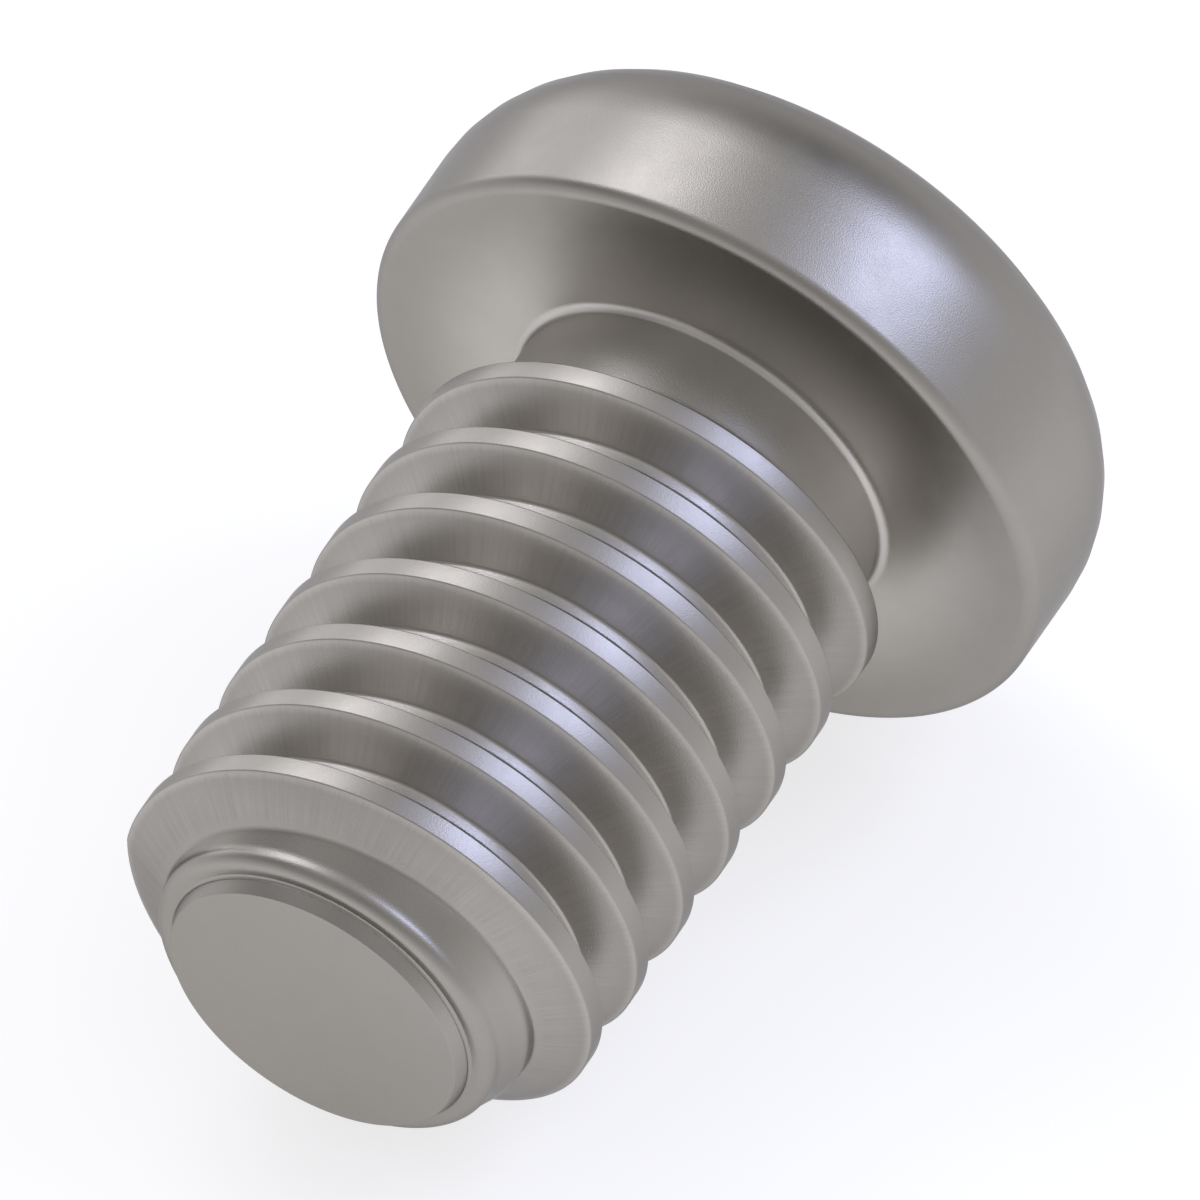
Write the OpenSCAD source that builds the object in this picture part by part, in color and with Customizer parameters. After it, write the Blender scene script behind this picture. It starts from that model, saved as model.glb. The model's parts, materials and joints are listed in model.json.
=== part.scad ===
// Low-head cap screw with a hexagon socket, a necked shank and a stepped tip.
// The screw is turned about its own axis first, tip face at s = 0, and is then
// laid down on its head rim and its thread, as it comes to rest on a floor.

/* [Thread] */
// Diameter over the thread's crests
thread_d = 3.86; // [3.80:0.01:3.92]
// Distance from one turn to the next
pitch = 0.70; // [0.68:0.01:0.74]
// Diameter at the bottom of the thread's groove
root_d = 3.12; // [3.00:0.02:3.24]
// Width of the flat on top of the thread
crest_w = 0.167; // [0.10:0.001:0.18]
// Angle between a flank and a plane across the screw
flank_deg = 30; // [26:1:30]
// Number of full-height crests along one side
turns = 7; // [4:1:7]
// Distance from the tip face to the middle of the first crest
first_crest = 0.813; // [0.78:0.001:0.95]

/* [Tip] */
// Diameter of the flat end face
tip_d = 2.47; // [2.20:0.01:2.50]
// Diameter of the pilot where it meets the step
pilot_d = 2.56; // [2.50:0.01:2.60]
// Length of the pilot's slightly tapered side
pilot_l = 0.11; // [0.05:0.01:0.14]
// Radius of the hollow fillet between pilot and step
pilot_fillet = 0.03; // [0.02:0.01:0.05]
// Diameter of the step behind the pilot
step_d = 2.92; // [2.90:0.01:3.00]
// Radius of the step's rounded edge
step_round = 0.11; // [0.05:0.01:0.12]
// Length of the step's side, its rounded edge included
step_l = 0.14; // [0.12:0.01:0.18]
// Length of the cone from the step up to the thread's root
lead_l = 0.24; // [0.10:0.01:0.30]

/* [Head] */
// Length of the screw under its head
length = 5.94; // [5.80:0.01:8.00]
// Diameter of the neck between thread and head
neck_d = 3.12; // [3.00:0.02:3.24]
// Radius of the hollow fillet between neck and head
neck_fillet = 0.08; // [0.02:0.01:0.15]
// Diameter of the head
head_d = 5.75; // [5.40:0.05:7.00]
// Height of the head
head_h = 1.84; // [1.70:0.02:2.40]
// Radius of the small round on the head's lower rim
rim_round = 0.12; // [0.05:0.01:0.20]
// Radius of the large round between the head's side and its top
shoulder_round = 1.03; // [0.60:0.01:1.15]

/* [Socket] */
// Width of the hexagon socket across its flats
socket_af = 2.5; // [2.0:0.1:2.5]
// Depth of the socket's six flats
socket_depth = 1.25; // [1.00:0.05:1.40]
// Width of the chamfer around the socket's mouth
socket_chamfer = 0.10; // [0.05:0.01:0.20]

/* [Rest] */
// Azimuth of the thread that faces the floor, counted from the first crest
down_azimuth = 154.5; // [140:0.5:170]

/* [Hidden] */

// Sides of a circle where it is drawn as a polygon
ROUND = 96;
// Straight steps in one turn of the thread
STEPS = 48;
// Turn by which full height goes on past the first and the last crest, in degrees
full_past = 102;
// Turn over which the thread then sinks into the shank, in degrees
sink_deg = 90;
// Angle between the screw's axis and the cone on which the thread starts
start_deg = 70;
// Gap left between two turns where their flanks almost meet inside the shank
turn_gap = 0.008;
// Overlap of two joined shapes, and of the thread past its true crest
lap = 0.02;
// Cone angle at the bottom of the drilled socket, measured from the axis
drill_deg = 60;
// Overlap of a cutting shape past the face that it cuts
past = 0.5;

thread_r = thread_d / 2;
head_r = head_d / 2;
neck_r = neck_d / 2;
step_r = step_d / 2;
pilot_r = pilot_d / 2;
tip_r = tip_d / 2;
step_s = pilot_l + pilot_fillet;
lead_s = step_s + step_l;
core_s = lead_s + lead_l;
neck_s = length - pitch;
top_s = length + head_h;
// Flanks of two turns meet here, and the groove is no deeper than that
meet_w = (pitch - turn_gap) / 2;
meet_r = thread_r - (meet_w - crest_w / 2) / tan(flank_deg);
groove_r = max(root_d / 2, meet_r);
foot_r = min(meet_r, step_r, neck_r) - lap;
socket_r = socket_af / 2 / cos(30);
chamfer_r = socket_r + socket_chamfer;
drill_r = socket_af / 2 - lap;
drill_l = drill_r / tan(drill_deg);

// The screw lies on one crest near the tip and on the rim of its head
contact_s = first_crest + pitch * down_azimuth / 360 - crest_w / 2;
lay_ds = length + rim_round - contact_s;
lay_dr = head_r - rim_round - thread_r;
lay_deg = atan2(lay_dr, lay_ds) + asin(rim_round / norm([lay_ds, lay_dr]));
tip_height = thread_r * cos(lay_deg) - contact_s * sin(lay_deg);
x_low = -tip_r * sin(lay_deg);
x_high = (top_s - shoulder_round) * cos(lay_deg)
    + (head_r - shoulder_round) * sin(lay_deg) + shoulder_round;

// Half section: x is the radius, y the distance s from the tip face

// Waste outside a rounded corner whose sides run towards -x and sy
module corner_waste(r, s, round_r, sy) {
    difference() {
        translate([r - round_r, sy > 0 ? s - past : s - round_r])
            square([round_r + past, round_r + past]);
        translate([r - round_r, s + sy * round_r])
            circle(r = round_r, $fn = ROUND);
    }
}

// Metal that fills a hollow corner at radius r under a face at s
module hollow_fillet(r, s, fillet_r) {
    difference() {
        translate([r - lap, s - fillet_r])
            square([fillet_r + lap, fillet_r + lap]);
        translate([r + fillet_r, s - fillet_r])
            circle(r = fillet_r, $fn = ROUND);
    }
}

module head_section() {
    difference() {
        translate([0, length])
            square([head_r, head_h]);
        corner_waste(head_r, length, rim_round, 1);
        corner_waste(head_r, top_s, shoulder_round, -1);
    }
}

module neck_section() {
    translate([0, neck_s])
        square([neck_r, length - neck_s + lap]);
    hollow_fillet(neck_r, length, neck_fillet);
}

module core_section() {
    translate([0, core_s])
        square([groove_r, neck_s - core_s]);
    polygon([[0, lead_s], [step_r, lead_s], [groove_r, core_s], [0, core_s]]);
}

module tip_section() {
    difference() {
        translate([0, step_s])
            square([step_r, step_l]);
        corner_waste(step_r, step_s, step_round, 1);
    }
    polygon([[0, 0], [tip_r, 0], [pilot_r, pilot_l], [pilot_r, step_s], [0, step_s]]);
    hollow_fillet(pilot_r, step_s, pilot_fillet);
}

module turned_body() {
    rotate_extrude($fn = ROUND) {
        head_section();
        neck_section();
        core_section();
        tip_section();
    }
}

// How far the thread has sunk into the shank at an angle along its helix
function sink_at(deg) =
    let (past_end = max(-deg, deg - (turns - 1) * 360) - full_past)
    max(0, past_end / sink_deg) * (thread_r - foot_r);

// Corners of the thread's section in radius and length, round the middle of its crest
function ridge_section() =
    let (top_r = thread_r + lap, top_w = crest_w / 2 - lap * tan(flank_deg))
    [[foot_r, -meet_w], [meet_r, -meet_w], [top_r, -top_w],
     [top_r, top_w], [meet_r, meet_w], [foot_r, meet_w]];

module thread_ridge() {
    section = ridge_section();
    m = len(section);
    first = -full_past - sink_deg;
    last = (turns - 1) * 360 - first;
    n = round((last - first) * STEPS / 360);
    points = [for (i = [0 : n], c = section)
        let (deg = first + (last - first) * i / n, r = c[0] - sink_at(deg))
        [r * cos(deg), r * sin(deg), first_crest + pitch * deg / 360 + c[1]]];
    sides = [for (i = [0 : n - 1], k = [0 : m - 1])
        let (a = m * i + k, b = m * i + (k + 1) % m)
        each [[a, b, b + m], [a, b + m, a + m]]];
    ends = [[for (k = [m - 1 : -1 : 0]) k], [for (k = [0 : m - 1]) m * n + k]];
    polyhedron(points = points, faces = concat(sides, ends), convexity = 10);
}

// Room that the thread fills, with the cone on which it starts behind the step
module thread_room() {
    start_r = (step_r + groove_r) / 2;
    start_s = (lead_s + core_s) / 2;
    crest_s = start_s + (thread_r - start_r) / tan(start_deg);
    rotate_extrude($fn = ROUND)
        polygon([[0, start_s], [start_r, start_s], [thread_r, crest_s], [thread_r, length], [0, length]]);
}

module drive_socket() {
    floor_s = top_s - socket_depth;
    translate([0, 0, floor_s])
        cylinder(r = socket_r, h = socket_depth + past, $fn = 6);
    // The drilled point starts inside the hexagon, so that no thin face is left between them
    rotate_extrude($fn = ROUND)
        polygon([[0, floor_s - drill_l], [drill_r, floor_s], [drill_r, floor_s + past], [0, floor_s + past]]);
    // A whole cone, so that the flats end at the mouth in arcs
    translate([0, 0, top_s - chamfer_r])
        cylinder(r1 = 0, r2 = chamfer_r + past, h = chamfer_r + past, $fn = ROUND);
}

module lay_down() {
    translate([-(x_low + x_high) / 2, 0, tip_height])
        rotate([0, 90 - lay_deg, 0])
            rotate([0, 0, -down_azimuth])
                children();
}

module cap_screw() {
    color([0.61, 0.60, 0.58])
        lay_down()
            difference() {
                union() {
                    turned_body();
                    intersection() {
                        thread_room();
                        thread_ridge();
                    }
                }
                drive_socket();
            }
}

cap_screw();
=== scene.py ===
import json
import math

import bmesh
import bpy
import numpy as np
from mathutils import Matrix, Vector


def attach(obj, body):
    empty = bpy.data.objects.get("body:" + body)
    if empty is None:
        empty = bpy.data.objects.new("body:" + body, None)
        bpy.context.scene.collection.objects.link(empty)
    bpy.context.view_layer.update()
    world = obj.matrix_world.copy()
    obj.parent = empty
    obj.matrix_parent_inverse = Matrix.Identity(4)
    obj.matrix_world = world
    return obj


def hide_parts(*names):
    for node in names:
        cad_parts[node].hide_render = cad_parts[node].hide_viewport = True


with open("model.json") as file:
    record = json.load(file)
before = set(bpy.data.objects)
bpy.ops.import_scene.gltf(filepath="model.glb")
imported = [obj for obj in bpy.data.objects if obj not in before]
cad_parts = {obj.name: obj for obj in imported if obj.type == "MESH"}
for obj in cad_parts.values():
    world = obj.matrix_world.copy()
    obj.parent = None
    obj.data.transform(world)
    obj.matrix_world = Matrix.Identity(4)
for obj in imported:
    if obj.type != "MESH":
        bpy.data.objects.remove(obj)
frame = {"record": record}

bl_info = {
    "name": "Cap screw",
    "version": (1, 0, 0),
    "blender": (4, 5, 0),
    "location": "View3D > Sidebar > Cap screw",
    "description": "Makes a low-head cap screw of bead-blasted stainless steel and the studio it lies in",
    "category": "Object",
}

MM = 0.001
NODE = "cap_screw"

# Columns round the screw, the same on turned faces and thread so that their rings meet
SEGMENTS = 240
# Corners of an outline whose faces turn by more than this stay crisp
CRISP_ANGLE = math.radians(16)
# One step of a rounded corner
ROUND_STEP = math.radians(11)
# Points closer than this are one point
MERGE = 2e-7
# Angle that one side of the hexagon socket takes
HEX_SIDE = math.pi / 3
# Angle between the drilled point's cone and its axis
DRILL_HALF = math.pi / 3
# Share of the lead cone that is turned, before the threaded skin takes over
LEAD_TURNED = 1 / 7
# Rows of points between the two ends of a flank
FLANK_ROWS = 3
# First turn of the helix counted from the first crest, and how many turns are laid out
FIRST_TURN = -2
LAID_TURNS = 10
# Attribute that holds the height on the thread in mm
HEIGHT_MM = "thread_height_mm"

# Below the crest, where the look of a flank starts and where it is whole, in mm
FLANK_TOP_MM = (0.004, 0.013)
# Above the root, where the look of a flank starts and where it is whole
FLANK_FOOT_MM = (0.01, 0.08)
# Along the screw from its tip face, where the grooves' painted fill light starts and where it is whole
TIP_FADE_MM = (0.4, 0.9)
# The same for the neck's painted fill light, from where the neck starts
NECK_FADE_MM = (-0.1, 0.2)
# Above the root, where a groove's painted fill light is whole
ROOT_FADE_MM = 0.05
# In from the head's side, where painted fill light makes the seat grow lighter, and out from the neck, where
# it is lightest
SEAT_FADE_MM = (0.2, 0.1)
# What counts as the seat on both sides of its plane, and as the head's top under its plane
SEAT_BAND_MM = 0.05
TOP_BAND_MM = 0.03
# Size of the broad patches in which the roughness goes up and down
PATCH_MM = 1 / 3
# How little the place along the screw counts in the marks' pattern, so that they run straight across a flank
MARK_STRETCH = 0.02
# How ragged the lower side of the painted sheen under a crest's edge is
RAGGED_MM = 0.02
# Below the crest, where the painted sheen is brightest
SHEEN_TOP_MM = 0.005
# Ends of a noise's usual values, and those between which a mark fades
NOISE_LOW, NOISE_HIGH = 0.3, 0.7
MARK_LOW, MARK_HIGH = 0.35, 0.65
# Strength of a mark at the crest, and what is added to it down at the root
MARK_CREST, MARK_ROOT = 0.4, 1.9

# Heading and height in degrees, tightness and depth of each curtain, which the steel mirrors as dark
CURTAINS = ((5, 41, 11, 0.55), (112, 40, 12, 0.50), (-168, 56, 10, 0.42))
# Heading, height and tightness of the window's upper and lower part and of the softbox
WINDOW = (63, 51, 30)
WINDOW_FOOT = (66, 10, 28)
SOFTBOX = (-50, 45, 32)
# Sine of the height at which the walls' light is that of their upper parts
WALL_TOP = 0.45
# Sines of the heights at which the ceiling's light starts and is whole
CEILING = (0.5, 0.9)


def mount(name):
    """Place and direction of one of the record's mounts."""
    found = next(m for m in frame["record"]["mounts"] if m["name"] == name)
    return Vector(found["pos_m"]), Vector(found["axis"]).normalized()


def linear(code):
    """Linear colour of an sRGB hex code such as 9C9893."""
    parts = [int(code[i:i + 2], 16) / 255 for i in (0, 2, 4)]
    return [p / 12.92 if p <= 0.04045 else ((p + 0.055) / 1.055) ** 2.4 for p in parts] + [1.0]


def size_prop(label, value, note):
    """A length given in mm."""
    return bpy.props.FloatProperty(
        name=label, description=note, default=value * MM, min=0, precision=6, unit="LENGTH")


def angle_prop(label, degrees, note):
    """An angle given in degrees."""
    return bpy.props.FloatProperty(
        name=label, description=note, default=math.radians(degrees), subtype="ANGLE")


def share_prop(label, value, note):
    """A share from 0 to 1."""
    return bpy.props.FloatProperty(
        name=label, description=note, default=value, min=0, max=1, subtype="FACTOR")


def light_prop(label, value, note):
    """A strength of light."""
    return bpy.props.FloatProperty(name=label, description=note, default=value, min=0)


def colour_prop(label, code, note):
    """A colour given as an sRGB hex code."""
    return bpy.props.FloatVectorProperty(
        name=label, description=note, default=linear(code), size=4, min=0, max=1, subtype="COLOR")


class ScrewSizes(bpy.types.PropertyGroup):
    """Sizes of the screw, along its own axis from the tip face."""

    thread_d: size_prop("Thread diameter", 3.86, "Diameter over the crests")
    root_d: size_prop("Root diameter", 3.12, "Diameter of the groove's bottom and of the neck")
    pitch: size_prop("Pitch", 0.70, "Distance from one turn to the next")
    crest_w: size_prop("Crest width", 0.167, "Width of the flat on top of the thread")
    flank: angle_prop("Flank angle", 30, "Angle between a flank and a plane across the screw")
    first_crest: size_prop("First crest", 0.813, "From the tip face to the middle of the first crest")
    turns: bpy.props.IntProperty(
        name="Crests", description="Full-height crests along one side", default=7, min=2)
    crest_round: size_prop("Crest edge", 0.012, "Radius of the edge on both sides of a crest")
    root_round: size_prop("Root fillet", 0.04, "Radius at the bottom of a flank")
    full_past: angle_prop("Full height", 102, "Turn past the first and last crest before the thread sinks")
    sink_turn: angle_prop("Run-out", 90, "Turn over which an end of the thread sinks into the shank")
    sink_depth: size_prop("Run-out depth", 0.49, "How far an end of the thread has sunk at last")
    down: angle_prop("Azimuth facing down", 154.5, "Azimuth of the thread that faces the floor")
    tip_d: size_prop("Tip face", 2.47, "Diameter of the flat end face")
    pilot_d: size_prop("Pilot", 2.56, "Diameter of the pilot where it meets the step")
    pilot_l: size_prop("Pilot length", 0.11, "Length of the pilot's tapered side")
    pilot_fillet: size_prop("Pilot fillet", 0.03, "Radius of the hollow fillet at the step")
    step_d: size_prop("Step", 2.92, "Diameter of the step behind the pilot")
    step_round: size_prop("Step edge", 0.11, "Radius of the step's rounded edge")
    step_l: size_prop("Step length", 0.14, "Length of the step's side, its rounded edge included")
    lead_fillet: size_prop("Lead fillet", 0.14, "Radius of the hollow between step and lead cone")
    lead_l: size_prop("Lead cone", 0.24, "Length of the cone from the step up to the root")
    lead_blend: size_prop("Lead blend", 0.02, "How softly the lead cone runs into the root")
    edge: size_prop("Edge break", 0.012, "Radius of edges that look sharp")
    length: size_prop("Length", 5.94, "Length of the screw under its head")
    neck_fillet: size_prop("Neck fillet", 0.08, "Radius of the hollow fillet under the head")
    head_d: size_prop("Head diameter", 5.75, "Diameter of the head")
    head_h: size_prop("Head height", 1.84, "Height of the head")
    rim_round: size_prop("Rim edge", 0.12, "Radius of the round on the head's lower rim")
    shoulder_round: size_prop("Shoulder", 1.03, "Radius of the round between the head's side and top")
    socket_af: size_prop("Socket", 2.5, "Width of the hexagon socket across its flats")
    socket_depth: size_prop("Socket depth", 1.25, "Depth of the socket's flats")
    drill_ledge: size_prop("Drill ledge", 0.02, "From the socket's flats in to the drilled point's rim")
    socket_chamfer: size_prop("Socket chamfer", 0.10, "Width of the chamfer round the socket's mouth")


class SteelLook(bpy.types.PropertyGroup):
    """Look of the steel."""

    colour: colour_prop("Steel", "A4A09A", "Colour that the steel gives to what it mirrors")
    dark: colour_prop("Grain shade", "A09C96", "Colour in the blasted surface's small pits")
    # Painted fill light: lighter steel on the neck, the seat round it, in the socket and in the grooves,
    # where shade falls
    bright: colour_prop("Painted fill light", "C4C0BA", "Colour on neck and seat and in the socket")
    groove_share: share_prop("Groove share", 0.4, "How much of the shielded colour the grooves have")
    edge_tint: colour_prop("Flat angle tint", "C8C8C8", "Takes brightness from faces seen at a flat angle")
    roughness: share_prop("Roughness", 0.32, "Roughness of the blasted faces")
    unevenness: share_prop("Unevenness", 0.03, "How far the roughness goes up and down")
    grain: size_prop("Grain", 0.011, "Width of one pit of the beads, drawn coarse enough to show")
    grain_depth: size_prop("Grain depth", 0.0015, "Depth of the pits")
    mark: colour_prop("Mark shade", "7C7873", "Colour in the marks across the flanks")
    marks: size_prop("Cross marks", 0.03, "Spacing of those marks, drawn coarse enough to show")
    mark_share: share_prop("Mark strength", 0.1, "How much of its shade a mark takes")
    # Painted sheen: a lighter band down each flank just under a crest's edge
    painted_sheen: colour_prop("Painted sheen", "C2BEB8", "Colour where the crests' edges are rubbed bright")
    painted_sheen_w: size_prop("Sheen width", 0.07, "Width of the rubbed edge down the flank")
    painted_sheen_share: share_prop("Sheen strength", 0.6, "How much of that colour the rubbed edge takes")


class StudioSet(bpy.types.PropertyGroup):
    """Camera, floor and light."""

    frame_px: bpy.props.IntProperty(
        name="Image side", description="Pixels along one side of the image", default=1200, min=1)
    px_per_mm: bpy.props.FloatProperty(
        name="Scale", description="Pixels of the image in a millimetre", default=132.64, min=1)
    tip_px: bpy.props.FloatVectorProperty(
        name="Tip", description="Tip face's middle in the image, from its upper left", size=2,
        default=(312.35, 1010.04))
    lean: angle_prop("Lean", 30.5, "How far the screw's tip leans towards the camera")
    slope: angle_prop("Slope", 54.956, "Angle of the screw's axis above the image's lower edge")
    distance: size_prop("Camera distance", 60, "From the screw's tip to the camera")
    floor_side: size_prop("Floor", 900, "Side of the floor")
    floor_colour: colour_prop("Floor colour", "B4B4B4", "Colour of the paper under the added light")
    lift: light_prop("Floor light", 0.72, "Light added to the floor as it is seen")
    far_lift: light_prop("Far floor light", 0.42, "Added light far from the screw")
    pool_near: size_prop("Floor light's middle", 11, "The added light is even up to here")
    pool_far: size_prop("Floor light's edge", 30, "The added light is lowest from here")
    sky_colour: colour_prop("Sky colour", "F9F9FB", "Colour of the studio's walls and ceiling")
    sky_low: light_prop("Low sky", 0.85, "Light of the walls next to the floor")
    sky_mid: light_prop("Middle sky", 0.56, "Light of the walls' upper parts")
    sky_top: light_prop("Top sky", 0.74, "Light of the ceiling")
    curtains: share_prop("Curtains", 1, "How dark the curtains are")
    warm_colour: colour_prop("Window colour", "F5F6FF", "Colour of the tall soft window")
    warm: light_prop("Window", 3.1, "Strength of the tall soft window")
    window_foot: share_prop("Window's foot", 0.42, "Share of that strength in the window's lower part")
    cool_colour: colour_prop("Softbox colour", "C8D2FF", "Colour of the cool softbox")
    cool: light_prop("Softbox", 4.6, "Strength of the cool softbox")


class Axis:
    """The screw's own axis as it lies in the frame, from its bearing face and thread."""

    def __init__(self, sizes):
        seat, leaving = mount("bearing_face")
        self.along = -leaving
        self.tip = seat - self.along * sizes.length
        rise = math.atan2(self.along.z, self.along.x)
        turn = Matrix.Rotation(math.pi / 2 - rise, 4, "Y") @ Matrix.Rotation(-sizes.down, 4, "Z")
        self.matrix = Matrix.Translation(self.tip) @ turn
        self.near = (turn @ Vector((1, 0, 0))).normalized()
        self.side = self.along.cross(self.near)


def rounded(corners):
    """Outline through corners of (radius, length, round), each corner turned into an arc."""
    points = []
    for i, (r, s, radius) in enumerate(corners):
        here = np.array((r, s))
        if radius == 0:
            points.append(here)
            continue
        back = np.array(corners[i - 1][:2]) - here
        ahead = np.array(corners[i + 1][:2]) - here
        back, ahead = back / np.linalg.norm(back), ahead / np.linalg.norm(ahead)
        turn = math.pi - math.acos(np.clip(back @ ahead, -1, 1))
        start = here + back * radius * math.tan(turn / 2)
        middle = (back + ahead) / np.linalg.norm(back + ahead)
        centre = here + middle * radius / math.cos(turn / 2)
        first = math.atan2(*(start - centre)[::-1])
        sign = math.copysign(1, back[0] * ahead[1] - back[1] * ahead[0])
        steps = max(2, math.ceil(turn / ROUND_STEP))
        for k in range(steps + 1):
            a = first - sign * turn * k / steps
            points.append(centre + radius * np.array((math.cos(a), math.sin(a))))
    return points


def lead_cone(sizes):
    """Where the lead cone starts, its slope, and where the threaded skin starts on it."""
    start = sizes.pilot_l + sizes.pilot_fillet + sizes.step_l
    slope = (sizes.root_d - sizes.step_d) / 2 / sizes.lead_l
    return start, slope, start + sizes.lead_l * LEAD_TURNED


def turned_rings(sizes):
    """Outlines of the turned tip and of the head with its socket, as lists of rings."""
    azimuth = np.arange(SEGMENTS) * 2 * math.pi / SEGMENTS
    step_s = sizes.pilot_l + sizes.pilot_fillet
    lead_s, slope, skin_s = lead_cone(sizes)
    top_s = sizes.length + sizes.head_h
    mouth_r = sizes.socket_af / 2 / math.cos(HEX_SIDE / 2) + sizes.socket_chamfer
    hexagon = sizes.socket_af / 2 / np.cos(azimuth % HEX_SIDE - HEX_SIDE / 2)
    drill_r = sizes.socket_af / 2 - sizes.drill_ledge
    floor_s = top_s - sizes.socket_depth
    tip = rounded([
        (0, 0, 0),
        (sizes.tip_d / 2, 0, sizes.edge),
        (sizes.pilot_d / 2, sizes.pilot_l, 0),
        (sizes.pilot_d / 2, step_s, sizes.pilot_fillet),
        (sizes.step_d / 2, step_s, sizes.step_round),
        (sizes.step_d / 2, lead_s, sizes.lead_fillet),
        (sizes.step_d / 2 + slope * (skin_s - lead_s), skin_s, 0),
    ])
    head = rounded([
        (sizes.root_d / 2, skin_end(sizes), 0),
        (sizes.root_d / 2, sizes.length, sizes.neck_fillet),
        (sizes.head_d / 2, sizes.length, sizes.rim_round),
        (sizes.head_d / 2, top_s, sizes.shoulder_round),
        (mouth_r, top_s, sizes.edge),
        (mouth_r - sizes.socket_chamfer / 2, top_s - sizes.socket_chamfer / 2, 0),
    ])
    socket = [
        (hexagon, top_s - mouth_r + hexagon),
        (hexagon, floor_s),
        (drill_r, floor_s),
        (0, floor_s - drill_r / math.tan(DRILL_HALF)),
    ]
    return azimuth, tip, head + socket


def skin_end(sizes):
    """Where the threaded skin ends on the neck, clear of the fillet under the head."""
    return sizes.length - 2 * sizes.neck_fillet


def add_rings(bm, azimuth, rings):
    """Joins rings of (radius, length) with faces; a ring of no radius is a pole."""
    before = None
    for r, s in rings:
        if np.isscalar(r) and r == 0:
            now = [bm.verts.new((0, 0, s))]
        else:
            r, s = r + np.zeros(SEGMENTS), s + np.zeros(SEGMENTS)
            now = [bm.verts.new(p) for p in zip(r * np.cos(azimuth), r * np.sin(azimuth), s)]
        for k in range(SEGMENTS if before else 0):
            n = (k + 1) % SEGMENTS
            corners = [before[k % len(before)], before[n % len(before)]]
            corners += [now[n % len(now)], now[k % len(now)]]
            bm.faces.new(list(dict.fromkeys(corners)))
        before = now


def thread_section(sizes):
    """One pitch of the thread's outline, as (offset from the crest's middle, height, 1 on a flank)."""
    height = (sizes.thread_d - sizes.root_d) / 2
    half_crest = sizes.crest_w / 2
    foot = half_crest + height * math.tan(sizes.flank)
    half = rounded([
        (0, height, 0),
        (half_crest, height, sizes.crest_round),
        (foot, 0, sizes.root_round),
        (sizes.pitch / 2, 0, 0),
    ])
    middle = len(half) // 2
    top, bottom = half[middle - 1], half[middle]
    rows = range(1, FLANK_ROWS + 1)
    half[middle:middle] = [top + (bottom - top) * k / (FLANK_ROWS + 1) for k in rows]
    side = [(w, h, float(0 < k < len(half) - 1)) for k, (w, h) in enumerate(half)]
    return [(-w, h, on) for w, h, on in side[:0:-1]] + side


def add(tree, kind, inputs=(), **settings):
    """Adds a node to a tree, with its settings, and its inputs as values or links."""
    made = tree.nodes.new(kind)
    for name, value in settings.items():
        setattr(made, name, value)
    for key, value in dict(inputs).items():
        if isinstance(value, bpy.types.NodeSocket):
            tree.links.new(value, made.inputs[key])
        else:
            made.inputs[key].default_value = value
    return made


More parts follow.
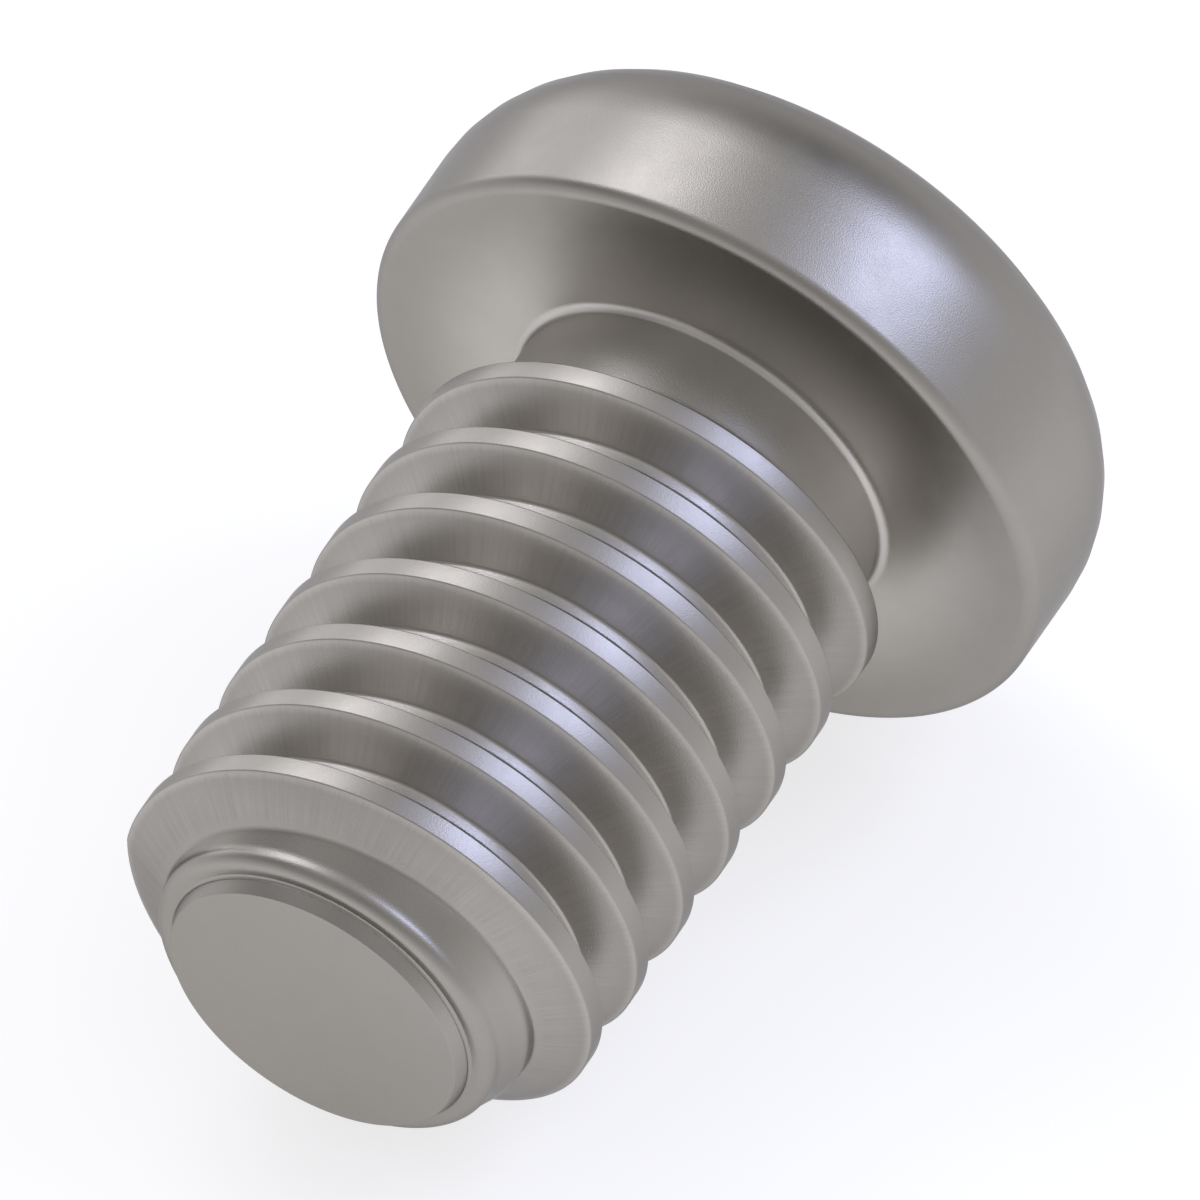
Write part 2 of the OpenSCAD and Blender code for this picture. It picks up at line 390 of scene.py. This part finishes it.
def thread_tree():
    """Geometry Nodes that lay the thread's section along its helix and close it on to the turned ends."""
    tree = bpy.data.node_groups.new("whirled_thread", "GeometryNodeTree")
    tree.interface.new_socket("Geometry", in_out="OUTPUT", socket_type="NodeSocketGeometry")
    tree.interface.new_socket("Turned ends", in_out="INPUT", socket_type="NodeSocketGeometry")
    tree.interface.new_socket("Section", in_out="INPUT", socket_type="NodeSocketObject")
    tree.interface.new_socket("Material", in_out="INPUT", socket_type="NodeSocketMaterial")
    for name in ("Columns", "Rows", "Segments"):
        tree.interface.new_socket(name, in_out="INPUT", socket_type="NodeSocketInt")
    for name in ("First turn", "Pitch", "First crest", "Last turn", "Full past", "Sink turns", "Sink depth",
                 "Height", "Flank slope", "Root radius", "Skin start", "Skin radius", "Lead slope",
                 "Lead blend", "Skin end", "Merge"):
        tree.interface.new_socket(name, in_out="INPUT", socket_type="NodeSocketFloat")
    given = add(tree, "NodeGroupInput").outputs

    # Which column along the helix and which row across the section a point is
    grid = add(tree, "GeometryNodeMeshGrid", {"Size X": 1, "Size Y": 1, "Vertices X": given["Columns"],
                                              "Vertices Y": given["Rows"]})
    place = add(tree, "ShaderNodeSeparateXYZ", {0: add(tree, "GeometryNodeInputPosition").outputs[0]})
    last_column = add(tree, "ShaderNodeMath", {0: given["Columns"], 1: 1}, operation="SUBTRACT")
    last_row = add(tree, "ShaderNodeMath", {0: given["Rows"], 1: 1}, operation="SUBTRACT")
    across = add(tree, "ShaderNodeMath", {0: place.outputs["Y"], 1: 0.5}, operation="ADD")
    along = add(tree, "ShaderNodeMath", {0: place.outputs["X"], 1: 0.5}, operation="ADD")
    column = add(tree, "ShaderNodeMath", {0: along.outputs[0], 1: last_column.outputs[0]},
                 operation="MULTIPLY")
    row = add(tree, "ShaderNodeMath", {0: across.outputs[0], 1: last_row.outputs[0]}, operation="MULTIPLY")
    whole_column = add(tree, "ShaderNodeMath", {0: column.outputs[0]}, operation="ROUND")
    whole_row = add(tree, "ShaderNodeMath", {0: row.outputs[0]}, operation="ROUND")
    turned = add(tree, "ShaderNodeMath", {0: whole_column.outputs[0], 1: given["Segments"]},
                 operation="DIVIDE")
    turn = add(tree, "ShaderNodeMath", {0: turned.outputs[0], 1: given["First turn"]}, operation="ADD")

    # The section's point for that row
    section = add(tree, "GeometryNodeObjectInfo", {"Object": given["Section"]})
    picked = add(tree, "GeometryNodeSampleIndex", {
        "Geometry": section.outputs["Geometry"],
        "Value": add(tree, "GeometryNodeInputPosition").outputs[0],
        "Index": whole_row.outputs[0],
    }, data_type="FLOAT_VECTOR")
    point = add(tree, "ShaderNodeSeparateXYZ", {0: picked.outputs[0]})
    offset, height, on_flank = point.outputs

    # How far the thread has sunk into the shank at that turn
    before = add(tree, "ShaderNodeMath", {0: turn.outputs[0], 1: -1}, operation="MULTIPLY")
    after = add(tree, "ShaderNodeMath", {0: turn.outputs[0], 1: given["Last turn"]}, operation="SUBTRACT")
    outside = add(tree, "ShaderNodeMath", {0: before.outputs[0], 1: after.outputs[0]}, operation="MAXIMUM")
    past = add(tree, "ShaderNodeMath", {0: outside.outputs[0], 1: given["Full past"]}, operation="SUBTRACT")
    share = add(tree, "ShaderNodeMath", {0: past.outputs[0], 1: given["Sink turns"]}, operation="DIVIDE")
    positive = add(tree, "ShaderNodeMath", {0: share.outputs[0], 1: 0}, operation="MAXIMUM")
    sink = add(tree, "ShaderNodeMath", {0: positive.outputs[0], 1: given["Sink depth"]},
               operation="MULTIPLY")
    above = add(tree, "ShaderNodeMath", {0: height, 1: sink.outputs[0]}, operation="SUBTRACT")
    shown = add(tree, "ShaderNodeMath", {0: above.outputs[0], 1: 0}, operation="MAXIMUM")

    # Height on the thread in mm, which the steel's marks and wear follow, and 0 where it is under the shank
    standing = add(tree, "ShaderNodeMath", {0: above.outputs[0], 1: MERGE}, operation="GREATER_THAN")
    in_mm = add(tree, "ShaderNodeMath", {0: height, 1: MM}, operation="DIVIDE")
    reached = add(tree, "ShaderNodeMath", {0: in_mm.outputs[0], 1: standing.outputs[0]}, operation="MULTIPLY")
    marked = add(tree, "GeometryNodeStoreNamedAttribute", {
        "Geometry": grid.outputs["Mesh"], "Name": HEIGHT_MM, "Value": reached.outputs[0],
    }, data_type="FLOAT", domain="POINT")

    # A sunken point of a flank slides in to where the flank leaves the shank
    under = add(tree, "ShaderNodeMath", {0: above.outputs[0], 1: 0}, operation="MINIMUM")
    inward = add(tree, "ShaderNodeMath", {0: under.outputs[0], 1: given["Flank slope"]}, operation="MULTIPLY")
    slide = add(tree, "ShaderNodeMath", {0: inward.outputs[0], 1: on_flank}, operation="MULTIPLY")
    distance = add(tree, "ShaderNodeMath", {0: offset}, operation="ABSOLUTE")
    nearer = add(tree, "ShaderNodeMath", {0: distance.outputs[0], 1: slide.outputs[0]}, operation="ADD")
    least = add(tree, "ShaderNodeMath", {0: nearer.outputs[0], 1: 0}, operation="MAXIMUM")
    sign = add(tree, "ShaderNodeMath", {0: offset}, operation="SIGN")
    slid = add(tree, "ShaderNodeMath", {0: least.outputs[0], 1: sign.outputs[0]}, operation="MULTIPLY")

    # Where the whole thread is under the shank, its rows are spread evenly
    evenly = add(tree, "ShaderNodeMath", {0: place.outputs["Y"], 1: given["Pitch"]}, operation="MULTIPLY")
    gone = add(tree, "ShaderNodeMath", {0: sink.outputs[0], 1: given["Height"]}, operation="GREATER_THAN")
    shift = add(tree, "ShaderNodeMix", {
        "Factor": gone.outputs[0], "A": slid.outputs[0], "B": evenly.outputs[0]})

    # Place along the axis, held between the step and the neck
    crest = add(tree, "ShaderNodeMath", {0: turn.outputs[0], 1: given["Pitch"], 2: given["First crest"]},
                operation="MULTIPLY_ADD")
    free = add(tree, "ShaderNodeMath", {0: crest.outputs[0], 1: shift.outputs[0]}, operation="ADD")
    held = add(tree, "ShaderNodeClamp", {"Value": free.outputs[0], "Min": given["Skin start"],
                                         "Max": given["Skin end"]})

    # Radius: the lead cone runs softly into the root, and the thread stands on both
    run = add(tree, "ShaderNodeMath", {0: held.outputs[0], 1: given["Skin start"]}, operation="SUBTRACT")
    cone = add(tree, "ShaderNodeMath", {0: run.outputs[0], 1: given["Lead slope"], 2: given["Skin radius"]},
               operation="MULTIPLY_ADD")
    core = add(tree, "ShaderNodeMath", {0: cone.outputs[0], 1: given["Root radius"], 2: given["Lead blend"]},
               operation="SMOOTH_MIN")
    radius = add(tree, "ShaderNodeMath", {0: core.outputs[0], 1: shown.outputs[0]}, operation="ADD")
    part = add(tree, "ShaderNodeMath", {0: turn.outputs[0]}, operation="FRACT")
    angle = add(tree, "ShaderNodeMath", {0: part.outputs[0], 1: 2 * math.pi}, operation="MULTIPLY")
    cosine = add(tree, "ShaderNodeMath", {0: angle.outputs[0]}, operation="COSINE")
    sine = add(tree, "ShaderNodeMath", {0: angle.outputs[0]}, operation="SINE")
    x = add(tree, "ShaderNodeMath", {0: radius.outputs[0], 1: cosine.outputs[0]}, operation="MULTIPLY")
    y = add(tree, "ShaderNodeMath", {0: radius.outputs[0], 1: sine.outputs[0]}, operation="MULTIPLY")
    target = add(tree, "ShaderNodeCombineXYZ", {"X": x.outputs[0], "Y": y.outputs[0], "Z": held.outputs[0]})
    skin = add(tree, "GeometryNodeSetPosition", {
        "Geometry": marked.outputs[0], "Position": target.outputs[0]})

    # One closed body with the turned ends
    joined = add(tree, "GeometryNodeJoinGeometry")
    tree.links.new(given["Turned ends"], joined.inputs[0])
    tree.links.new(skin.outputs[0], joined.inputs[0])
    merged = add(tree, "GeometryNodeMergeByDistance", {
        "Geometry": joined.outputs[0], "Distance": given["Merge"]})
    real = add(tree, "GeometryNodeRealizeInstances", {"Geometry": merged.outputs[0]})
    dressed = add(tree, "GeometryNodeSetMaterial", {
        "Geometry": real.outputs[0], "Material": given["Material"]})
    add(tree, "NodeGroupOutput", {0: dressed.outputs[0]})
    return tree


def set_inputs(modifier, values):
    """Sets a Geometry Nodes modifier's inputs by name, through each socket's identifier."""
    for item in modifier.node_group.interface.items_tree:
        if item.in_out == "INPUT" and item.name in values:
            modifier[item.identifier] = values[item.name]


def new_object(name, bm_or_points):
    """Links a mesh object made from a bmesh, or from loose points."""
    mesh = bpy.data.meshes.new(name)
    if isinstance(bm_or_points, bmesh.types.BMesh):
        bm_or_points.to_mesh(mesh)
        bm_or_points.free()
    else:
        mesh.from_pydata(bm_or_points, [], [])
    made = bpy.data.objects.new(name, mesh)
    bpy.context.scene.collection.objects.link(made)
    return made


def screw_object(sizes, axis, material):
    """The whole screw as one closed mesh, lying where the frame has it."""
    azimuth, tip, head = turned_rings(sizes)
    bm = bmesh.new()
    add_rings(bm, azimuth, tip)
    add_rings(bm, azimuth, head)
    blank = new_object("turned_ends", bm)
    points = thread_section(sizes)
    section = new_object("thread_section", points)
    whirled = blank.modifiers.new("Whirled thread", "NODES")
    whirled.node_group = thread_tree()
    lead_s, slope, skin_s = lead_cone(sizes)
    set_inputs(whirled, {
        "Section": section,
        "Material": material,
        "Columns": SEGMENTS * LAID_TURNS + 1,
        "Rows": len(points),
        "Segments": SEGMENTS,
        "First turn": float(FIRST_TURN),
        "Pitch": sizes.pitch,
        "First crest": sizes.first_crest,
        "Last turn": float(sizes.turns - 1),
        "Full past": sizes.full_past / (2 * math.pi),
        "Sink turns": sizes.sink_turn / (2 * math.pi),
        "Sink depth": sizes.sink_depth,
        "Height": (sizes.thread_d - sizes.root_d) / 2,
        "Flank slope": math.tan(sizes.flank),
        "Root radius": sizes.root_d / 2,
        "Skin start": skin_s,
        "Skin radius": sizes.step_d / 2 + slope * (skin_s - lead_s),
        "Lead slope": slope,
        "Lead blend": sizes.lead_blend,
        "Skin end": skin_end(sizes),
        "Merge": MERGE,
    })
    graph = bpy.context.evaluated_depsgraph_get()
    mesh = bpy.data.meshes.new_from_object(blank.evaluated_get(graph))
    blank.modifiers.remove(whirled)
    bm = bmesh.new()
    bm.from_mesh(mesh)
    bmesh.ops.dissolve_degenerate(bm, dist=MERGE, edges=bm.edges)
    bmesh.ops.recalc_face_normals(bm, faces=bm.faces)
    bm.transform(axis.matrix)
    for face in bm.faces:
        face.smooth = True
    for edge in bm.edges:
        edge.smooth = edge.is_manifold and edge.calc_face_angle() < CRISP_ANGLE
    made = new_object("screw", bm)
    made.data.materials.append(material)
    for helper in (blank, section):
        bpy.data.objects.remove(helper)
    return made


def blasted_steel(look, sizes, axis):
    """Stainless steel with a whirled thread, blasted with fine glass beads.

    The beads leave a satin face whose tiny pits make the lights grainy.
    The grooves, the neck, the seat round it and the socket are painted a little brighter, as fill light for
    the shade that falls there.
    Whirling leaves faint marks across the flanks, and a painted sheen lightens each flank just under a
    crest's edge.
    """
    material = bpy.data.materials.new("bead_blasted_stainless_steel")
    material.use_nodes = True
    tree = material.node_tree
    tree.nodes.clear()
    crest_mm, root_mm = sizes.thread_d / 2 / MM, sizes.root_d / 2 / MM
    head_mm = sizes.head_d / 2 / MM
    tall_mm = crest_mm - root_mm
    seat_mm = sizes.length / MM
    neck_mm = (sizes.length - sizes.pitch) / MM
    top_mm = (sizes.length + sizes.head_h) / MM

    # Place on the screw in mm, along its own axis from the tip
    local = add(tree, "ShaderNodeMapping", {
        "Vector": add(tree, "ShaderNodeTexCoord").outputs["Object"],
        "Location": axis.tip,
        "Rotation": axis.matrix.to_euler(),
        "Scale": (MM, MM, MM),
    }, vector_type="TEXTURE").outputs[0]
    flat = add(tree, "ShaderNodeVectorMath", {0: local, 1: (1, 1, 0)}, operation="MULTIPLY").outputs[0]
    radius = add(tree, "ShaderNodeVectorMath", {0: flat}, operation="LENGTH").outputs["Value"]
    around = add(tree, "ShaderNodeVectorMath", {0: flat}, operation="NORMALIZE").outputs[0]
    length = add(tree, "ShaderNodeSeparateXYZ", {0: local}).outputs["Z"]

    # 1 on the thread's flanks, fading just under the crest and at the root
    height = add(tree, "ShaderNodeAttribute", attribute_name=HEIGHT_MM).outputs["Fac"]
    below = add(tree, "ShaderNodeMapRange", {
        "Value": height, "From Min": tall_mm - FLANK_TOP_MM[0], "From Max": tall_mm - FLANK_TOP_MM[1]})
    above = add(tree, "ShaderNodeMapRange", {
        "Value": height, "From Min": FLANK_FOOT_MM[0], "From Max": FLANK_FOOT_MM[1]})
    flank = add(tree, "ShaderNodeMath", {0: below.outputs[0], 1: above.outputs[0]}, operation="MULTIPLY")

    # Painted fill light where shade falls: in the grooves, on the neck, in the socket and round the neck on
    # the seat
    past_tip = add(tree, "ShaderNodeMapRange", {
        "Value": length, "From Min": TIP_FADE_MM[0], "From Max": TIP_FADE_MM[1], "To Max": look.groove_share})
    on_neck = add(tree, "ShaderNodeMapRange", {
        "Value": length, "From Min": neck_mm + NECK_FADE_MM[0], "From Max": neck_mm + NECK_FADE_MM[1],
        "To Max": 1 - look.groove_share})
    fill_along = add(tree, "ShaderNodeMath", {0: past_tip.outputs[0], 1: on_neck.outputs[0]}, operation="ADD")
    deep = add(tree, "ShaderNodeMapRange", {
        "Value": radius, "From Min": crest_mm, "From Max": root_mm + ROOT_FADE_MM,
    }, interpolation_type="SMOOTHSTEP").outputs[0]
    groove = add(tree, "ShaderNodeMath", {0: deep, 1: fill_along.outputs[0]}, operation="MULTIPLY")
    inner = add(tree, "ShaderNodeMapRange", {
        "Value": radius, "From Min": head_mm - SEAT_FADE_MM[0], "From Max": root_mm + SEAT_FADE_MM[1],
    }, interpolation_type="SMOOTHSTEP")
    on_seat = add(tree, "ShaderNodeMath", {0: length, 1: seat_mm, 2: SEAT_BAND_MM}, operation="COMPARE")
    seat = add(tree, "ShaderNodeMath", {0: inner.outputs[0], 1: on_seat.outputs[0]}, operation="MULTIPLY")
    painted_fill = add(tree, "ShaderNodeMath", {0: groove.outputs[0], 1: seat.outputs[0]}, operation="MAXIMUM")
    under_top = add(tree, "ShaderNodeMath", {0: length, 1: top_mm - TOP_BAND_MM}, operation="LESS_THAN")
    fill_share = add(tree, "ShaderNodeMath", {0: painted_fill.outputs[0], 1: under_top.outputs[0]},
               operation="MULTIPLY")

    # Pits of the beads, broad patches, and marks that run straight across a flank
    pits = add(tree, "ShaderNodeTexNoise", {
        "Vector": local, "Scale": MM / look.grain, "Detail": 1, "Roughness": 0.5}).outputs[0]
    patches = add(tree, "ShaderNodeTexNoise", {
        "Vector": local, "Scale": 1 / PATCH_MM, "Detail": 3}).outputs[0]
    stretched = add(tree, "ShaderNodeMath", {0: length, 1: MARK_STRETCH}, operation="MULTIPLY")
    turned = add(tree, "ShaderNodeCombineXYZ", {"Z": stretched.outputs[0]})
    path = add(tree, "ShaderNodeVectorMath", {0: around, 1: turned.outputs[0]}, operation="ADD")
    marks = add(tree, "ShaderNodeTexNoise", {
        "Vector": path.outputs[0], "Scale": sizes.thread_d / 2 / look.marks, "Detail": 2, "Roughness": 0.7,
    }).outputs[0]

    # Steel with painted fill light where shade falls, darker in a mark, and a painted sheen down the flank
    # next to a crest's edge
    shade = add(tree, "ShaderNodeMapRange", {"Value": pits, "From Min": NOISE_LOW, "From Max": NOISE_HIGH})
    blasted = add(tree, "ShaderNodeMix", {
        "Factor": shade.outputs[0], "A": list(look.dark), "B": list(look.colour)}, data_type="RGBA")
    fill_lit_colour = add(tree, "ShaderNodeMix", {
        "Factor": fill_share.outputs[0], "A": blasted.outputs["Result"], "B": list(look.bright)}, data_type="RGBA")
    streak = add(tree, "ShaderNodeMapRange", {
        "Value": marks, "From Min": MARK_LOW, "From Max": MARK_HIGH, "To Min": look.mark_share, "To Max": 0})
    deeper = add(tree, "ShaderNodeMath", {0: deep, 1: MARK_ROOT, 2: MARK_CREST}, operation="MULTIPLY_ADD")
    on_flank = add(tree, "ShaderNodeMath", {0: deeper.outputs[0], 1: flank.outputs[0]}, operation="MULTIPLY")
    streaked = add(tree, "ShaderNodeMath", {0: streak.outputs[0], 1: on_flank.outputs[0]},
                   operation="MULTIPLY")
    marked = add(tree, "ShaderNodeMix", {
        "Factor": streaked.outputs[0], "A": fill_lit_colour.outputs["Result"], "B": list(look.mark)}, data_type="RGBA")
    # Painted sheen down each flank under a crest's edge, with a ragged lower side
    ragged = add(tree, "ShaderNodeMath", {0: marks, 1: 2 * RAGGED_MM, 2: height}, operation="MULTIPLY_ADD")
    near_crest = add(tree, "ShaderNodeMapRange", {
        "Value": ragged.outputs[0], "From Min": tall_mm + RAGGED_MM - look.painted_sheen_w / MM,
        "From Max": tall_mm + RAGGED_MM - SHEEN_TOP_MM, "To Max": look.painted_sheen_share,
    }, interpolation_type="SMOOTHSTEP")
    painted = add(tree, "ShaderNodeMath", {0: near_crest.outputs[0], 1: flank.outputs[0]},
                 operation="MULTIPLY")
    colour = add(tree, "ShaderNodeMix", {
        "Factor": painted.outputs[0], "A": marked.outputs["Result"], "B": list(look.painted_sheen)}, data_type="RGBA")

    rough = add(tree, "ShaderNodeMapRange", {
        "Value": patches, "From Min": NOISE_LOW, "From Max": NOISE_HIGH,
        "To Min": look.roughness - look.unevenness, "To Max": look.roughness + look.unevenness})
    bump = add(tree, "ShaderNodeBump", {"Height": pits, "Distance": look.grain_depth, "Strength": 1})
    steel = add(tree, "ShaderNodeBsdfPrincipled", {
        "Base Color": colour.outputs["Result"], "Metallic": 1, "Roughness": rough.outputs[0],
        "Specular Tint": list(look.edge_tint), "Normal": bump.outputs[0]})
    add(tree, "ShaderNodeOutputMaterial", {"Surface": steel.outputs[0]})
    return material


def make_camera(studio, axis):
    """The picture's parallel view: the tip leans towards the camera and the axis climbs to the right."""
    sine, cosine = math.sin(studio.lean), math.cos(studio.lean)
    to_eye = axis.near * cosine - axis.along * sine
    climb = axis.along * cosine + axis.near * sine
    right = climb * math.cos(studio.slope) + axis.side * math.sin(studio.slope)
    up = climb * math.sin(studio.slope) - axis.side * math.cos(studio.slope)
    middle = studio.frame_px / 2
    scale = MM / studio.px_per_mm
    centre = axis.tip + (right * (middle - studio.tip_px[0]) + up * (studio.tip_px[1] - middle)) * scale
    lens = bpy.data.cameras.new("camera")
    lens.type = "ORTHO"
    lens.ortho_scale = studio.frame_px * scale
    lens.clip_start, lens.clip_end = MM, 1
    camera = bpy.data.objects.new("camera", lens)
    turn = Matrix((right, up, to_eye)).transposed().to_4x4()
    camera.matrix_world = Matrix.Translation(centre + to_eye * studio.distance) @ turn
    bpy.context.scene.collection.objects.link(camera)
    bpy.context.scene.camera = camera


def seen_or_mirrored(tree):
    """1 for rays from the camera, and for those that metal or glass sends on."""
    path = add(tree, "ShaderNodeLightPath").outputs
    seen = add(tree, "ShaderNodeMath", {0: path["Is Camera Ray"], 1: path["Is Glossy Ray"]},
               operation="MAXIMUM")
    return add(tree, "ShaderNodeMath", {0: seen.outputs[0], 1: path["Is Transmission Ray"]},
               operation="MAXIMUM").outputs[0]


def make_floor(studio):
    """A plain pale floor that keeps the screw's soft shadow and is seen as white."""
    bm = bmesh.new()
    bmesh.ops.create_grid(bm, x_segments=1, y_segments=1, size=studio.floor_side / 2)
    floor = new_object("floor", bm)
    # Matt white paper has no gloss, so all that shows on it is the screw's shadow
    material = bpy.data.materials.new("matt_white_paper")
    material.use_nodes = True
    tree = material.node_tree
    tree.nodes.clear()
    paper = add(tree, "ShaderNodeBsdfDiffuse", {"Color": list(studio.floor_colour)})
    where = add(tree, "ShaderNodeTexCoord").outputs["Object"]
    far = add(tree, "ShaderNodeVectorMath", {0: where}, operation="LENGTH")
    pool = add(tree, "ShaderNodeMapRange", {
        "Value": far.outputs["Value"], "From Min": studio.pool_near, "From Max": studio.pool_far,
        "To Min": studio.lift, "To Max": studio.far_lift,
    }, interpolation_type="SMOOTHSTEP")
    level = add(tree, "ShaderNodeMath", {0: seen_or_mirrored(tree), 1: pool.outputs[0]}, operation="MULTIPLY")
    glow = add(tree, "ShaderNodeEmission", {"Color": list(studio.sky_colour), "Strength": level.outputs[0]})
    both = add(tree, "ShaderNodeAddShader", {0: paper.outputs[0], 1: glow.outputs[0]})
    add(tree, "ShaderNodeOutputMaterial", {"Surface": both.outputs[0]})
    floor.data.materials.append(material)


def towards(heading, height):
    """Direction with a compass heading from +X and a height above the floor, in degrees."""
    heading, height = math.radians(heading), math.radians(height)
    flat = math.cos(height)
    return Vector((math.cos(heading) * flat, math.sin(heading) * flat, math.sin(height)))


def soft_spot(tree, where, heading, height, tightness):
    """1 in a direction of the sky, falling off softly round it."""
    direction = towards(heading, height)
    along = add(tree, "ShaderNodeVectorMath", {0: where, 1: direction}, operation="DOT_PRODUCT")
    fall = add(tree, "ShaderNodeMath", {0: along.outputs["Value"], 1: tightness, 2: -tightness},
               operation="MULTIPLY_ADD")
    return add(tree, "ShaderNodeMath", {0: fall.outputs[0]}, operation="EXPONENT").outputs[0]


def make_sky(studio):
    """Pale walls and ceiling, darker curtains, and a window and a softbox that the camera doesn't see."""
    world = bpy.data.worlds.new("studio")
    bpy.context.scene.world = world
    world.use_nodes = True
    tree = world.node_tree
    tree.nodes.clear()
    where = add(tree, "ShaderNodeTexCoord").outputs["Generated"]
    seen = add(tree, "ShaderNodeLightPath").outputs["Is Camera Ray"]
    hidden = add(tree, "ShaderNodeMath", {0: 1, 1: seen}, operation="SUBTRACT").outputs[0]
    height = add(tree, "ShaderNodeSeparateXYZ", {0: where}).outputs["Z"]
    wall = add(tree, "ShaderNodeMapRange", {
        "Value": height, "From Min": 0, "From Max": WALL_TOP,
        "To Min": studio.sky_low, "To Max": studio.sky_mid,
    }, interpolation_type="SMOOTHSTEP")
    ceiling = add(tree, "ShaderNodeMapRange", {
        "Value": height, "From Min": CEILING[0], "From Max": CEILING[1],
        "To Min": 0, "To Max": studio.sky_top - studio.sky_mid,
    }, interpolation_type="SMOOTHSTEP")
    even = add(tree, "ShaderNodeMath", {0: wall.outputs[0], 1: ceiling.outputs[0]}, operation="ADD")
    for *spot, depth in CURTAINS:
        soft = soft_spot(tree, where, *spot)
        dim = add(tree, "ShaderNodeMath", {0: soft, 1: -depth * studio.curtains, 2: 1},
                  operation="MULTIPLY_ADD")
        even = add(tree, "ShaderNodeMath", {0: even.outputs[0], 1: dim.outputs[0]}, operation="MULTIPLY")
    total = add(tree, "ShaderNodeBackground", {"Color": list(studio.sky_colour), "Strength": even.outputs[0]})
    for spot, colour, strength in (
            (WINDOW, studio.warm_colour, studio.warm),
            (WINDOW_FOOT, studio.warm_colour, studio.warm * studio.window_foot),
            (SOFTBOX, studio.cool_colour, studio.cool)):
        soft = soft_spot(tree, where, *spot)
        level = add(tree, "ShaderNodeMath", {0: soft, 1: strength}, operation="MULTIPLY")
        lit = add(tree, "ShaderNodeMath", {0: level.outputs[0], 1: hidden}, operation="MULTIPLY")
        glow = add(tree, "ShaderNodeBackground", {"Color": list(colour), "Strength": lit.outputs[0]})
        total = add(tree, "ShaderNodeAddShader", {0: total.outputs[0], 1: glow.outputs[0]})
    add(tree, "ShaderNodeOutputWorld", {"Surface": total.outputs[0]})


class SCREW_OT_make_screw(bpy.types.Operator):
    """Turn, whirl and blast the cap screw"""

    bl_idname = "cap_screw.make_screw"
    bl_label = "Make cap screw"

    def execute(self, context):
        sizes = context.scene.screw_sizes
        axis = Axis(sizes)
        screw = screw_object(sizes, axis, blasted_steel(context.scene.steel_look, sizes, axis))
        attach(screw, "root")
        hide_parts(NODE)
        return {"FINISHED"}


class SCREW_OT_make_studio(bpy.types.Operator):
    """Set up the floor, the soft light and the camera"""

    bl_idname = "cap_screw.make_studio"
    bl_label = "Make studio"

    def execute(self, context):
        studio = context.scene.studio_set
        make_floor(studio)
        make_sky(studio)
        make_camera(studio, Axis(context.scene.screw_sizes))
        context.scene.view_settings.view_transform = "Standard"
        return {"FINISHED"}


class SCREW_PT_panel(bpy.types.Panel):
    """Lists the steps and the sizes."""

    bl_label = "Cap screw"
    bl_space_type = "VIEW_3D"
    bl_region_type = "UI"
    bl_category = "Cap screw"

    def draw(self, context):
        scene = context.scene
        for operator, group in ((SCREW_OT_make_screw, scene.screw_sizes), (None, scene.steel_look),
                                (SCREW_OT_make_studio, scene.studio_set)):
            if operator:
                self.layout.operator(operator.bl_idname)
            for name in group.bl_rna.properties.keys():
                if name not in ("rna_type", "name"):
                    self.layout.prop(group, name)


GROUPS = {"screw_sizes": ScrewSizes, "steel_look": SteelLook, "studio_set": StudioSet}
CLASSES = (*GROUPS.values(), SCREW_OT_make_screw, SCREW_OT_make_studio, SCREW_PT_panel)


def register():
    for cls in CLASSES:
        bpy.utils.register_class(cls)
    for name, cls in GROUPS.items():
        setattr(bpy.types.Scene, name, bpy.props.PointerProperty(type=cls))


def unregister():
    for name in GROUPS:
        delattr(bpy.types.Scene, name)
    for cls in reversed(CLASSES):
        bpy.utils.unregister_class(cls)


def main():
    register()
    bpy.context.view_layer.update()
    bpy.ops.cap_screw.make_screw()
    bpy.ops.cap_screw.make_studio()


if __name__ == "__main__":
    main()
